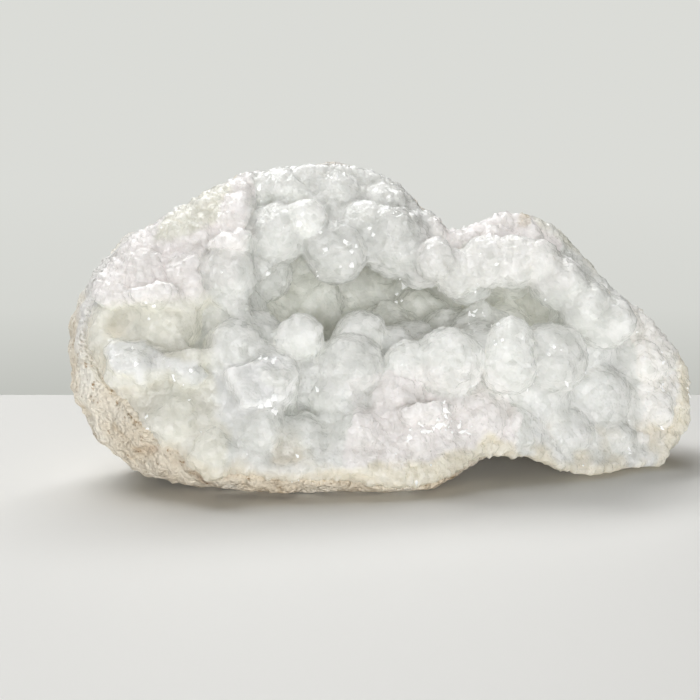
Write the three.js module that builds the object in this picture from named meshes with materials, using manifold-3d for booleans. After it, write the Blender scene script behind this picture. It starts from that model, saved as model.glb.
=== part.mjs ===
// A white quartz geode: half of a stone nodule, broken open, with a hollow lined by balls of crystal.
// It lies on its rounded back and underside. +X is to the right, +Y is away from the viewer, +Z is up.
// Everything is in millimetres. The origin is on the resting surface, under the middle of the nodule.
import * as THREE from "three";
import { ImprovedNoise } from "three/addons/math/ImprovedNoise.js";
import { mergeVertices } from "three/addons/utils/BufferGeometryUtils.js";
import Module from "manifold-3d";

const wasm = await Module();
wasm.setup();
const noise = new ImprovedNoise();

// The outline of the nodule seen from the front, as x and z, counter-clockwise from the right tip.
const OUTLINE = [
  [94, 18], [94, 25], [88, 33], [81, 40], [72, 49], [64, 58], [59, 65], [46, 73],
  [39, 77], [34, 76], [24, 71], [13, 70], [5, 81], [-3, 87], [-16, 90], [-28, 90],
  [-42, 88], [-54, 82], [-67, 75], [-77, 69], [-86, 60], [-92, 53], [-94, 43],
  [-94, 33], [-90, 25], [-82, 13], [-72, 4], [-59, 1], [-44, -1], [-32, -1],
  [-17, -1], [0, -2], [12, 0], [24, 7.5], [34, 9], [45, 4], [55, 1], [65, -0.5],
  [74, -1.5], [81, 5], [88, 12],
];
const CENTRE = new THREE.Vector2(0, 42);

// The widest section leans back as it rises and curves back at the right.
const SECTION = { x: 0.11, curve: 0.00067, z: 0.3, at: -20 };
const FRONT_DEPTH = 36; // how far the nodule bulged in front of that section
const BACK_DEPTH = 50; // and behind it
const BACK_SAG = 5; // how much lower the underside hangs behind the widest section
const SQUARENESS = 2.3;

// The rock broke along one plane, and the crystals a little in front of it, furthest at the top right.
const ROCK_BREAK = { x: 0.31, curve: 0.0016, z: 0.63, at: -39.7 };
const CRYSTAL_BREAK = { x: 0.3, curve: 0.0016, z: 0.56, at: -43.5 };
const SKIN_GAP = 0.35; // between the rock and the crystal crust, all over
const FLOOR_GAP = 0.5; // between the resting surface and the lowest crystals

// The hollow, as shares of the nodule's own size, and how far its middle sits from the nodule's.
const ROCK_HOLLOW = { width: 0.72, height: 0.68, depth: 40, x: 4, z: 3 };
const OPEN_HOLLOW = { width: 0.56, height: 0.4, depth: 32, x: 8, z: 10 };
// Small pockets in the crystals beside the hollow, each as x, y, z and its three half sizes.
const POCKETS = [
  [-25, -34, 27, 11, 12, 7], [-52, -30, 43, 8, 12, 10], [36, -22, 44, 10, 9, 6],
];
// Pits and dents in the bare rock, in the same way.
const PITS = [
  [-71, -31, 17, 5, 5, 4], [-88, -14, 45, 4, 5, 8], [-83, 2, 21, 6, 9, 6], [-45, -36, 3, 7, 4, 3],
  [-41, 45, 50, 15, 8, 10], [16, 52, 44, 11, 9, 15], [60, 38, 34, 12, 8, 8], [-8, 34, 88, 18, 9, 7],
  [40, 30, 73, 10, 9, 8], [-74, 28, 62, 9, 10, 9],
];

const RIND_COLOUR = "#d9c9a6";
const CRYSTAL_COLOUR = "#e4e4df";

// The balls of crystal that hang from the roof of the hollow, each as x, y, z and radius.
const ROOF_BALLS = [
  [-48, -20, 60, 7.5], [-35, -10, 70, 8.5], [-26, -13, 75, 5.5], [-18, -10, 65, 9.2],
  [-10, -4, 72, 8], [-1, -5, 68, 10], [8, -4, 62, 7.5], [11, -12, 63, 5.5],
  [18, -8, 59, 7], [26, -7, 62, 7.5], [34, -7, 62, 7.5], [41, -9, 62, 6],
  [48, -9, 56, 7.5], [55, -10, 49, 7.5], [62, -10, 45, 7.5], [-40, -3, 58, 8], [22, 2, 57, 8],
];
// Those that stand on its floor.
const FLOOR_BALLS = [
  [-49, -12, 47, 10], [-46, -28, 38, 8.5], [-40, -20, 41, 8], [-28, -25, 42, 6.5],
  [-34, -18, 36, 8], [-11, -16, 41, 7.5], [-2, -13, 36, 7.5], [-14, -24, 33, 9.5],
  [2, -26, 35, 5.5], [14, -24, 35, 9], [23, -16, 37, 7.5], [32, -22, 41, 6.3],
  [31.5, -23, 37, 7], [31, -24, 33, 7.3], [44, -15, 35, 9.8], [-27, -22, 30, 8], [-16, -26, 24, 9],
];
// Those on the broken face round the hollow, each as x, z and radius, and sunk in it by a share of that.
const FACE_BALLS = [
  [-37, 18, 8.5], [-26, 15, 8.5], [-13, 17, 9], [-2, 26, 11], [12, 25, 11], [21, 17, 10],
  [3, 14, 9], [40, 23, 12.5], [56, 34, 12.5], [60, 20, 12], [34, 14, 8.5], [49, 12, 9],
  [65, 9, 7], [69, 42, 8.5], [75, 28, 9], [78, 16, 7.5], [-60, 32, 9], [-66, 46, 10.5],
  [-73, 33, 8], [-61, 21, 8.5], [-50, 13, 8], [-58, 58, 9], [-70, 58, 8], [-47, 73, 9],
  [23, 61, 8], [39, 66, 8], [51, 58, 8], [-60, 69, 8], [-33, 82, 8], [-18, 82, 8],
  [-4, 78, 8], [7, 67, 7], [60, 48, 8],
];
const FACE_SINK = 0.62;
// The clear six-sided crystal that broke off at the left of the floor.
const CLEAR_CRYSTAL = { x: -35, y: -34, z: 30, radius: 8, height: 14, lean: 0.5, turn: 0.4 };
// Tablets of broken crystal that stick out as ledges, each as x, y, z, radius and turn.
const LEDGES = [
  [-57, -34, 37, 9, 0.2], [-68, -28, 53, 8, 0.7], [-46, -20, 67, 8, 0.9], [6, -32, 21, 9, 0.4],
];
const LEDGE = { thickness: 4, lean: 0.3 };
// The smaller balls that line the back of the hollow, on a golden-angle spiral.
const LINING_BALLS = 22;
const LINING_RADIUS = 10;
const LINING_REACH = 1.15; // 1 would end the spiral at the hollow's widest section
const GOLDEN_ANGLE = Math.PI * (3 - Math.sqrt(5));

// How far each surface swells and sinks, and how wide its lumps are.
const NODULE_LUMPS = [{ share: 0.09, wide: 30 }, { share: 0.05, wide: 13 }];
const RIM_LUMPS = { share: 0.018, wide: 11 };
const HOLLOW_LUMPS = { share: 0.08, wide: 16 };
const BREAK_WAVES = { high: 3.5, wide: 26 };
const BREAK_STEPS = { high: 1.8, wide: 9 };
const BALL_LUMPS = { share: 0.16, wide: 5 };
const LARGE_BALL = 9.4; // balls over this radius have more faces

// How finely the surfaces are divided.
const NODULE_GRID = [40, 24];
const HOLLOW_GRID = [22, 12];
const ROCK_STEP = 16;
const CRYSTAL_STEP = 12;
const ROOM = { wide: 240, deep: 120, tall: 160 }; // a block larger than the nodule each way

// A repeatable number from 0 to 1 for each number given.
function chance(n) {
  const s = Math.sin(n * 127.1 + 311.7) * 43758.5453;
  return s - Math.floor(s);
}

// Smooth noise from about -1 to 1, whose lumps are a given number of millimetres wide.
function lumps(x, y, z, wide) {
  return noise.noise(x / wide + 7.3, y / wide + 3.1, z / wide + 5.7);
}

// The outline as a radius for each even step round the centre, from the closed curve through its points.
function outlineRadii(steps) {
  const points = OUTLINE.map(([x, z]) => new THREE.Vector3(x, z, 0));
  const curve = new THREE.CatmullRomCurve3(points, true, "centripetal");
  const found = curve.getSpacedPoints(4 * steps).map((p) => {
    const away = new THREE.Vector2(p.x, p.y).sub(CENTRE);
    return { angle: away.angle(), radius: away.length() };
  });
  found.sort((a, b) => a.angle - b.angle);
  let at = 0;
  return Array.from({ length: steps }, (_, i) => {
    const wanted = (i / steps) * 2 * Math.PI;
    while (at < found.length - 1 && found[at].angle < wanted) at += 1;
    return found[at].radius;
  });
}

const RADII = outlineRadii(720);

function outlineRadius(angle) {
  const turn = (angle / (2 * Math.PI) + 1) % 1;
  const place = turn * RADII.length;
  const low = Math.floor(place);
  return THREE.MathUtils.lerp(RADII[low % RADII.length], RADII[(low + 1) % RADII.length], place - low);
}

// The y of a leaning sheet that curves back towards both sides.
function leaning(sheet, x, z) {
  return sheet.x * x + sheet.curve * x * x + sheet.z * z + sheet.at;
}

// The rock's and the crystals' broken surfaces roll together, and the crystals' is stepped as well.
function rockBreak(x, z) {
  return leaning(ROCK_BREAK, x, z) + BREAK_WAVES.high * lumps(x, 0, z, BREAK_WAVES.wide);
}

function crystalBreak(x, z) {
  const waves = BREAK_WAVES.high * lumps(x, 0, z, BREAK_WAVES.wide);
  return leaning(CRYSTAL_BREAK, x, z) + waves + BREAK_STEPS.high * lumps(x, 60, z, BREAK_STEPS.wide);
}

// A closed geometry as a solid that can be cut and joined.
function solidOf(geometry) {
  const bare = geometry.clone();
  bare.deleteAttribute("normal");
  bare.deleteAttribute("uv");
  const merged = mergeVertices(bare, 1e-4);
  return new wasm.Manifold(
    new wasm.Mesh({
      numProp: 3,
      vertProperties: merged.attributes.position.array,
      triVerts: new Uint32Array(merged.index.array),
    }),
  );
}

function moveVertices(geometry, moved) {
  const position = geometry.attributes.position;
  for (let i = 0; i < position.count; i += 1) {
    const p = moved(new THREE.Vector3().fromBufferAttribute(position, i));
    position.setXYZ(i, p.x, p.y, p.z);
  }
  return geometry;
}

// Puts a point of the unit sphere on the nodule, or on a hollow of the same form inside it.
function onNodule(u, size) {
  const across = Math.hypot(u.x, u.z);
  const fit = (across ** SQUARENESS + Math.abs(u.y) ** SQUARENESS) ** (-1 / SQUARENESS);
  const radius = outlineRadius(Math.atan2(u.z, u.x)) * fit;
  const x = size.x + size.width * radius * u.x;
  const z = CENTRE.y + size.z + size.height * radius * u.z;
  const depth = u.y > 0 ? size.back : size.front;
  return new THREE.Vector3(x, leaning(SECTION, x, z) + depth * fit * u.y, z);
}

// The whole nodule before it broke. Its lumps fade out towards the front, where the outline stays true.
function nodule() {
  const size = { x: 0, z: 0, width: 1, height: 1, front: FRONT_DEPTH, back: BACK_DEPTH };
  const sphere = new THREE.SphereGeometry(1, ...NODULE_GRID);
  return solidOf(
    moveVertices(sphere, (u) => {
      const p = onNodule(u, size);
      const behind = THREE.MathUtils.smoothstep(u.y, -0.1, 0.45);
      let swell = 1 + RIM_LUMPS.share * lumps(p.x, p.y, p.z, RIM_LUMPS.wide);
      for (const { share, wide } of NODULE_LUMPS) swell += behind * share * lumps(p.x, p.y, p.z, wide);
      const under = THREE.MathUtils.smoothstep(u.y, 0, 0.5) * THREE.MathUtils.smoothstep(-u.z, 0, 0.5);
      return p.set(p.x * swell, p.y * swell, CENTRE.y + (p.z - CENTRE.y) * swell - BACK_SAG * under);
    }),
  );
}

// A hollow of the nodule's own form, open far to the front, and smaller all round by the gap given.
function hollow(shape, gap) {
  const size = {
    ...shape,
    width: shape.width - gap / CENTRE.y,
    height: shape.height - gap / CENTRE.y,
    front: ROOM.deep,
    back: shape.depth - gap,
  };
  return solidOf(
    moveVertices(new THREE.SphereGeometry(1, ...HOLLOW_GRID), (u) => {
      const p = onNodule(u, size);
      const swell = 1 + HOLLOW_LUMPS.share * lumps(p.x, p.y, p.z, HOLLOW_LUMPS.wide);
      return p.set(p.x * swell, p.y, CENTRE.y + (p.z - CENTRE.y) * swell);
    }),
  );
}

// Everything in front of a broken surface, as a block whose back face follows it.
function inFrontOf(surface, step) {
  const { wide, deep, tall } = ROOM;
  const block = new THREE.BoxGeometry(wide, deep, tall, Math.round(wide / step), 1, Math.round(tall / step));
  block.translate(0, 0, CENTRE.y);
  return solidOf(moveVertices(block, (p) => p.setY(p.y > 0 ? surface(p.x, p.z) : -deep)));
}

// A pocket or pit: a rough ball stretched to its three half sizes.
function pocket([x, y, z, ...halfSizes]) {
  const ball = new THREE.IcosahedronGeometry(1, 1);
  return solidOf(ball.scale(...halfSizes).translate(x, y, z));
}

// One ball of crystal: a rough ball of flat faces, turned by chance so that no two look alike.
function crystalBall(ball, [x, y, z], seed) {
  const { share, wide } = BALL_LUMPS;
  moveVertices(ball, (p) => p.multiplyScalar(1 + share * lumps(p.x + 31 * seed, p.y, p.z, wide)));
  ball.rotateX(2 * Math.PI * chance(seed));
  ball.rotateZ(2 * Math.PI * chance(seed + 0.5));
  return solidOf(ball.translate(x, y, z));
}

function outerBall([x, y, z, radius], index) {
  const Form = radius > LARGE_BALL ? THREE.IcosahedronGeometry : THREE.OctahedronGeometry;
  return crystalBall(new Form(radius, 1), [x, y, z], index);
}

// A short six-sided crystal, broken flat at both ends, that leans forward.
function clearCrystal({ x, y, z, radius, height, lean, turn }) {
  const prism = new THREE.CylinderGeometry(0.8 * radius, radius, height, 6);
  prism.rotateX(Math.PI / 2 + lean).rotateZ(turn);
  return solidOf(prism.translate(x, y, z));
}

// Gives a ball of the broken face its y.
function onFace([x, z, radius]) {
  return [x, leaning(CRYSTAL_BREAK, x, z) + FACE_SINK * radius, z, radius];
}

// A six-sided tablet lying nearly level, so that its front edge stands out of the face.
function ledge([x, y, z, radius, turn]) {
  const tablet = new THREE.CylinderGeometry(radius, 0.7 * radius, LEDGE.thickness, 6);
  tablet.rotateX(Math.PI / 2 - LEDGE.lean).rotateZ(turn);
  return solidOf(tablet.translate(x, y, z));
}

// One of the balls spread over the back of the hollow, half sunk in its wall.
function liningBall(_, index) {
  const size = { ...OPEN_HOLLOW, front: OPEN_HOLLOW.depth, back: OPEN_HOLLOW.depth };
  const back = 1 - (LINING_REACH * (index + 0.5)) / LINING_BALLS;
  const across = Math.sqrt(1 - back * back);
  const turn = index * GOLDEN_ANGLE;
  const u = new THREE.Vector3(across * Math.cos(turn), back, across * Math.sin(turn));
  const radius = LINING_RADIUS * (0.75 + 0.5 * chance(index));
  return crystalBall(new THREE.IcosahedronGeometry(radius, 0), onNodule(u, size), index);
}

function largestPiece(solid) {
  return solid.decompose().sort((a, b) => b.volume() - a.volume())[0];
}

function named(name, solid, colour, roughness) {
  const mesh = solid.getMesh();
  const indexed = new THREE.BufferGeometry();
  indexed.setAttribute("position", new THREE.BufferAttribute(mesh.vertProperties, 3));
  indexed.setIndex(new THREE.BufferAttribute(mesh.triVerts, 1));
  const faceted = indexed.toNonIndexed();
  faceted.computeVertexNormals();
  const material = new THREE.MeshStandardMaterial({ color: colour, roughness, metalness: 0 });
  const made = new THREE.Mesh(faceted, material);
  made.name = name;
  return made;
}

// The rock: the nodule without what broke away, the hollow and the pits, cut flat where it rests.
const whole = nodule();
const below = solidOf(new THREE.BoxGeometry(ROOM.wide, ROOM.wide, ROOM.tall).translate(0, 0, -ROOM.tall / 2));
const rockOpening = inFrontOf(rockBreak, ROCK_STEP).add(hollow(ROCK_HOLLOW, 0));
const pits = wasm.Manifold.union(PITS.map(pocket));
const rind = largestPiece(whole.subtract(rockOpening).subtract(pits).subtract(below));

// The crust fills what the rock leaves open, up to its own broken face, and the balls stand on it.
const beforeRock = inFrontOf((x, z) => rockBreak(x, z) - SKIN_GAP, ROCK_STEP);
const crustSpace = beforeRock.add(hollow(ROCK_HOLLOW, SKIN_GAP));
const crustOpening = wasm.Manifold.union([
  inFrontOf(crystalBreak, CRYSTAL_STEP),
  hollow(OPEN_HOLLOW, 0),
  ...POCKETS.map(pocket),
]);
const crystals = wasm.Manifold.union([
  ...[...ROOF_BALLS, ...FLOOR_BALLS, ...FACE_BALLS.map(onFace)].map(outerBall),
  ...Array.from({ length: LINING_BALLS }, liningBall),
  clearCrystal(CLEAR_CRYSTAL),
  ...LEDGES.map(ledge),
]);
const crust = largestPiece(
  whole.subtract(crustOpening).add(crystals).intersect(crustSpace).subtract(below.translate(0, 0, FLOOR_GAP)),
);

const geode = new THREE.Group();
geode.add(named("rind", rind, RIND_COLOUR, 0.9), named("crystal_crust", crust, CRYSTAL_COLOUR, 0.35));
const box = new THREE.Box3().setFromObject(geode);
const middle = box.getCenter(new THREE.Vector3());
geode.position.set(-middle.x, -middle.y, -box.min.z);

export default geode;
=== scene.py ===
# %% [markdown]
# # A white quartz geode
# A geode is half of a rock nodule that broke open. Outside it is chalky rock, and inside it is a crust of
# milky quartz that grew into balls, each covered by the tips of small crystals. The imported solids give
# every form its place and size. This lesson puts the natural surface on them: it remeshes each solid
# finely, swells and chips it with repeatable noise, and grows small crystals on it.

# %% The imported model
import itertools
import math
import bmesh
import bpy
import numpy as np
from mathutils import Euler, Matrix, Vector
from mathutils.bvhtree import BVHTree


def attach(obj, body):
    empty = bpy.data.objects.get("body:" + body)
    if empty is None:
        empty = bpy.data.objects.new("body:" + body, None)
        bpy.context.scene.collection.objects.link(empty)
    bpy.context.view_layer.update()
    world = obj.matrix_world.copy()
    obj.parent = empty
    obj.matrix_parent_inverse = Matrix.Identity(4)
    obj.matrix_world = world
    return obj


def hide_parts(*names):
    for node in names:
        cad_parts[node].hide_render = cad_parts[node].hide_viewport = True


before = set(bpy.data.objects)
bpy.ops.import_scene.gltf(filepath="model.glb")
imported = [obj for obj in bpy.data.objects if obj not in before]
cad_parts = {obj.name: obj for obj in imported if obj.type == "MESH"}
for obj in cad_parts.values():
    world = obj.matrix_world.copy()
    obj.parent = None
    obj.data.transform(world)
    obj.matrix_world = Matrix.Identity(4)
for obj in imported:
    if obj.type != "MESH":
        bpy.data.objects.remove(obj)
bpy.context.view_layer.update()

MM = 0.001

# %% [markdown]
# ## Camera
# The camera stands a little above the geode and looks down on it by a few degrees. A camera could be aimed
# with a Track To constraint, but plain numbers for its place and its pitch are easier to adjust against a
# picture.

# %% The camera
CAMERA_PLACE = (-0.0122, -0.306, 0.0757)
CAMERA_PITCH = 7.5  # degrees below level
CAMERA_LENS = 52.3

camera = bpy.data.objects.new("camera", bpy.data.cameras.new("camera"))
camera.data.lens = CAMERA_LENS
camera.data.sensor_width = 36
camera.data.clip_start = 0.01
camera.location = CAMERA_PLACE
camera.rotation_euler = (math.radians(90 - CAMERA_PITCH), 0, 0)
bpy.context.scene.collection.objects.link(camera)
bpy.context.scene.camera = camera
bpy.context.scene.view_settings.view_transform = "Standard"

# %% [markdown]
# ## Helpers for meshes
# Most pieces here go through the same steps: start a mesh with a bmesh operator or from a copy of a solid,
# run modifiers over it, then move its points along their normals. The points are handled as one array of
# numbers, because a loop over a hundred thousand vertices in Python would be slow.


# %% Mesh helpers
def new_object(name, bm):
    """Turns a bmesh into an object at the origin, with smooth faces."""
    mesh = bpy.data.meshes.new(name)
    bm.to_mesh(mesh)
    bm.free()
    mesh.shade_smooth()
    made = bpy.data.objects.new(name, mesh)
    bpy.context.scene.collection.objects.link(made)
    return made


def cad_copy(name, node):
    """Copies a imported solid's loose triangles and joins them into one closed shell."""
    bm = bmesh.new()
    bm.from_mesh(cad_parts[node].data)
    bmesh.ops.remove_doubles(bm, verts=bm.verts, dist=1e-6)
    return new_object(name, bm)


def apply_modifiers(piece):
    """Bakes an object's modifiers into its mesh."""
    evaluated = piece.evaluated_get(bpy.context.evaluated_depsgraph_get())
    mesh = bpy.data.meshes.new_from_object(evaluated)
    piece.modifiers.clear()
    piece.data = mesh
    mesh.name = piece.name


def remesh(piece, voxel):
    """Rebuilds a closed shell from small squares of one size."""
    modifier = piece.modifiers.new("remesh", "REMESH")
    modifier.mode = "VOXEL"
    modifier.voxel_size = voxel
    apply_modifiers(piece)


def points_of(piece):
    co = np.empty(3 * len(piece.data.vertices))
    piece.data.vertices.foreach_get("co", co)
    return co.reshape(-1, 3)


def normals_of(piece):
    normals = np.empty(3 * len(piece.data.vertices), np.float32)
    piece.data.vertex_normals.foreach_get("vector", normals)
    return normals.reshape(-1, 3).astype(float)


def set_points(piece, points):
    piece.data.vertices.foreach_set("co", points.ravel())
    piece.data.update()


def smooth(piece, passes, strength=None):
    """Pulls each vertex towards its neighbours, by a strength of its own from 0 to 1 where it is given."""
    before = points_of(piece)
    modifier = piece.modifiers.new("smooth", "SMOOTH")
    modifier.factor = 0.5
    modifier.iterations = passes
    apply_modifiers(piece)
    if strength is not None:
        after = points_of(piece)
        set_points(piece, before + (after - before) * strength[:, None])


CLEFT_PASSES = 24  # of smoothing, which fills clefts a few millimetres wide


def cleft_depth(piece):
    """How far each vertex lies below the surface around it, in metres."""
    bm = bmesh.new()
    bm.from_mesh(piece.data)
    around = new_object("around", bm)
    smooth(around, CLEFT_PASSES)
    depths = np.sum((points_of(around) - points_of(piece)) * normals_of(piece), axis=1)
    bpy.data.objects.remove(around)
    return depths


def triangle_count(piece):
    return sum(len(face.vertices) - 2 for face in piece.data.polygons)


# %% [markdown]
# ## Repeatable noise
# Stone and crystal need noise, and it has to be the same on each run. Three kinds do the work. Lumps are
# soft swellings of a given width, and blobs are round-topped ones with a crease between them. Tips are the
# points of crystals: space is split into cells, each cell has a seed at a chance place with three
# directions of its own, and the height falls off from the seed along whichever of them is steepest, so that
# every seed becomes a small pyramid with flat sides.


# %% Noise helpers
def chance(cells, salt):
    """A repeatable number from 0 to 1 for each whole-numbered cell."""
    s = np.sin(cells @ np.array([127.1, 311.7, 74.7]) + 91.7 * salt) * 43758.5453
    return s - np.floor(s)


def chance_direction(cells, salt):
    """A repeatable unit vector for each cell."""
    v = np.stack([chance(cells, salt + k) - 0.5 for k in range(3)], axis=1)
    return v / np.linalg.norm(v, axis=1, keepdims=True).clip(1e-6)


def lumps(points, wide, salt=0):
    """Smooth noise from -1 to 1, with lumps as wide as given."""
    p = points / wide + 17.3 * salt
    home = np.floor(p)
    f = p - home
    f = f * f * (3 - 2 * f)
    total = np.zeros(len(p))
    for corner in itertools.product((0, 1), repeat=3):
        weight = np.prod(np.where(corner, f, 1 - f), axis=1)
        total += weight * (2 * chance(home + corner, salt) - 1)
    return total


def tips(points, wide, salt=0):
    """Pyramids with flat sides: 1 at each seed, falling to about 0 between them."""
    p = points / wide
    home = np.floor(p)
    nearest = np.full(len(p), np.inf)
    for step in itertools.product((-1, 0, 1), repeat=3):
        cell = home + step
        seed = cell + np.stack([chance(cell, salt + k) for k in range(3)], axis=1)
        away = p - seed
        side = chance_direction(cell, salt + 4)
        other = np.cross(side, chance_direction(cell, salt + 8))
        other /= np.linalg.norm(other, axis=1, keepdims=True).clip(1e-6)
        steepest = np.zeros(len(p))
        for direction in (side, other, np.cross(side, other)):
            steepest = np.maximum(steepest, np.abs(np.sum(away * direction, axis=1)))
        nearest = np.minimum(nearest, steepest)
    return 1 - nearest / 0.75


def blobs(points, wide, salt=0):
    """Round-topped swellings: 1 at each seed, with a crease between neighbours."""
    p = points / wide
    home = np.floor(p)
    nearest = np.full(len(p), np.inf)
    for step in itertools.product((-1, 0, 1), repeat=3):
        cell = home + step
        seed = cell + np.stack([chance(cell, salt + k) for k in range(3)], axis=1)
        nearest = np.minimum(nearest, np.linalg.norm(p - seed, axis=1))
    return np.sqrt((1 - (nearest / 1.1) ** 2).clip(0))


def ramp(values, low, high):
    """0 below low, 1 above high and smooth between; low may be the larger."""
    t = ((values - low) / (high - low)).clip(0, 1)
    return t * t * (3 - 2 * t)


# %% [markdown]
# ## Where the stone broke
# The nodule broke along a leaning, slightly curved sheet. Surfaces near it are broken, sugary crystal, and
# those well behind it are the grown walls of the hollow. The same few numbers as in the solids describe it,
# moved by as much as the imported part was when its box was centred.

# %% The broken face
PART_SHIFT = np.array([1.62, 1.221, 0.0]) * MM


def behind_break(points):
    """How far each point lies behind the crystals' broken face, in metres."""
    x, y, z = ((points - PART_SHIFT) / MM).T
    return (y - (0.3 * x + 0.0016 * x * x + 0.56 * z - 43.5)) * MM


# %% [markdown]
# ## Finishes
# Three finishes are enough. The rock is rough and chalky, with brown specks and stains. The quartz is
# milky: light goes into it and comes out again nearby, which is what subsurface scattering does. Where the
# face of a clear crystal catches the light it flashes white, and small crystals there get a painted
# highlight:
# a smooth white finish that glows a little of its own. Refracting glass was the other choice for those, but
# inside the milky crust it turns into dark specks. A vertex colour named tint carries what differs from
# place to place, such as the pinkish white where crystals broke, and some painted light too: the paler walls
# of the hollow, lighter tips and clefts, and the lighter edges of the block. One named glow carries the
# light that comes through the quartz.

# %% A node group for speckle that several finishes share
def node(tree, kind, place=(0, 0), **values):
    made = tree.nodes.new(kind)
    made.location = place
    for key, value in values.items():
        if hasattr(made, key):
            setattr(made, key, value)
        else:
            made.inputs[key.replace("_", " ")].default_value = value
    return made


def mottle_group():
    """Clouds, a grainy height, and flat crystals of chance brightness and tilt, on Object coordinates."""
    tree = bpy.data.node_groups.new("mottle", "ShaderNodeTree")
    for name in ("Cloud Scale", "Grain Scale", "Crystal Scale"):
        tree.interface.new_socket(name, in_out="INPUT", socket_type="NodeSocketFloat")
    for name in ("Cloud", "Crystals", "Height", "Facets"):
        tree.interface.new_socket(name, in_out="OUTPUT", socket_type="NodeSocketFloat")
    given = node(tree, "NodeGroupInput")
    out = node(tree, "NodeGroupOutput")
    coords = node(tree, "ShaderNodeTexCoord")
    cloud = node(tree, "ShaderNodeTexNoise", Detail=3.0, Roughness=0.55)
    grain = node(tree, "ShaderNodeTexNoise", Detail=2.0, Roughness=0.6)
    cells = node(tree, "ShaderNodeTexVoronoi")
    crystals = node(tree, "ShaderNodeTexVoronoi")
    bright = node(tree, "ShaderNodeRGBToBW")
    height = node(tree, "ShaderNodeMath", operation="SUBTRACT")
    slope = node(tree, "ShaderNodeVectorMath", operation="SUBTRACT")
    slope.inputs[1].default_value = (0.5, 0.5, 0.5)
    away = node(tree, "ShaderNodeVectorMath", operation="SUBTRACT")
    facets = node(tree, "ShaderNodeVectorMath", operation="DOT_PRODUCT")
    links = tree.links
    for texture, scale in ((cloud, 0), (grain, 1), (cells, 1), (crystals, 2)):
        links.new(coords.outputs["Object"], texture.inputs["Vector"])
        links.new(given.outputs[scale], texture.inputs["Scale"])
    links.new(grain.outputs["Fac"], height.inputs[0])
    links.new(cells.outputs["Distance"], height.inputs[1])
    links.new(crystals.outputs["Color"], bright.inputs["Color"])
    links.new(crystals.outputs["Color"], slope.inputs[0])
    links.new(coords.outputs["Object"], away.inputs[0])
    links.new(crystals.outputs["Position"], away.inputs[1])
    links.new(slope.outputs["Vector"], facets.inputs[0])
    links.new(away.outputs["Vector"], facets.inputs[1])
    links.new(cloud.outputs["Fac"], out.inputs["Cloud"])
    links.new(bright.outputs["Val"], out.inputs["Crystals"])
    links.new(height.outputs[0], out.inputs["Height"])
    links.new(facets.outputs["Value"], out.inputs["Facets"])
    return tree


mottle = mottle_group()


def finish(name, rough, **sockets):
    """Starts a material with a Principled shader and the mottle group beside it."""
    material = bpy.data.materials.new(name)
    material.use_nodes = True
    tree = material.node_tree
    shader = tree.nodes["Principled BSDF"]
    shader.inputs["Roughness"].default_value = rough
    for socket, value in sockets.items():
        shader.inputs[socket.replace("_", " ")].default_value = value
    group = tree.nodes.new("ShaderNodeGroup")
    group.node_tree = mottle
    return material, tree, shader, group


def colour_ramp(tree, source, stops):
    made = tree.nodes.new("ShaderNodeValToRGB")
    ramp_stops = made.color_ramp.elements
    while len(ramp_stops) < len(stops):
        ramp_stops.new(0.5)
    for stop, (at, colour) in zip(ramp_stops, stops):
        stop.position = at
        stop.color = (*colour, 1)
    tree.links.new(source, made.inputs["Fac"])
    return made.outputs["Color"]


def mixed(tree, kind, factor, a, b):
    """Mixes two colours; each of factor, a and b is a socket or a value."""
    made = tree.nodes.new("ShaderNodeMix")
    made.data_type = "RGBA"
    made.blend_type = kind
    colour_inputs = [s for s in made.inputs if s.type == "RGBA"]
    for socket, value in ((made.inputs["Factor"], factor), (colour_inputs[0], a), (colour_inputs[1], b)):
        if hasattr(value, "is_output"):
            tree.links.new(value, socket)
        else:
            socket.default_value = value
    return next(s for s in made.outputs if s.type == "RGBA")


def bumped(tree, shader, *heights):
    """Feeds heights to the shader's Normal through bumps, each given as a socket and a depth."""
    normal = None
    for height, depth in heights:
        bump = tree.nodes.new("ShaderNodeBump")
        bump.inputs["Strength"].default_value = 1.0
        bump.inputs["Distance"].default_value = depth
        tree.links.new(height, bump.inputs["Height"])
        if normal:
            tree.links.new(normal, bump.inputs["Normal"])
        normal = bump.outputs["Normal"]
    tree.links.new(normal, shader.inputs["Normal"])


# %% The chalky rock
def chalky_rock():
    material, tree, shader, group = finish("chalky_rock", 0.93, Specular_IOR_Level=0.2)
    group.inputs["Cloud Scale"].default_value = 55
    group.inputs["Grain Scale"].default_value = 900
    chalk = colour_ramp(tree, group.outputs["Cloud"], [
        (0.30, (0.76, 0.68, 0.56)), (0.48, (0.88, 0.82, 0.71)),
        (0.62, (0.93, 0.90, 0.82)), (0.80, (0.95, 0.93, 0.88)),
    ])
    coords = tree.nodes.new("ShaderNodeTexCoord")
    specks = node(tree, "ShaderNodeTexNoise", Scale=420.0, Detail=3.0, Roughness=0.7)
    tree.links.new(coords.outputs["Object"], specks.inputs["Vector"])
    speck_mask = colour_ramp(tree, specks.outputs["Fac"], [(0.60, (0, 0, 0)), (0.70, (1, 1, 1))])
    stains = node(tree, "ShaderNodeTexNoise", Scale=90.0, Detail=4.0, Roughness=0.65, Distortion=0.8)
    tree.links.new(coords.outputs["Object"], stains.inputs["Vector"])
    stain_mask = colour_ramp(tree, stains.outputs["Fac"], [(0.55, (0, 0, 0)), (0.72, (0.75, 0.75, 0.75))])
    stained = mixed(tree, "MIX", stain_mask, chalk, (0.47, 0.36, 0.22, 1))
    specked = mixed(tree, "MIX", speck_mask, stained, (0.42, 0.30, 0.18, 1))
    tint = tree.nodes.new("ShaderNodeAttribute")
    tint.attribute_name = "tint"
    toned = mixed(tree, "MULTIPLY", 1.0, specked, tint.outputs["Color"])
    pale = tree.nodes.new("ShaderNodeAttribute")
    pale.attribute_name = "pale"
    powdered = mixed(tree, "MIX", pale.outputs["Fac"], toned, (0.84, 0.83, 0.81, 1))
    tree.links.new(powdered, shader.inputs["Base Color"])
    bumped(tree, shader, (group.outputs["Height"], 0.7 * MM))
    return material


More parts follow.
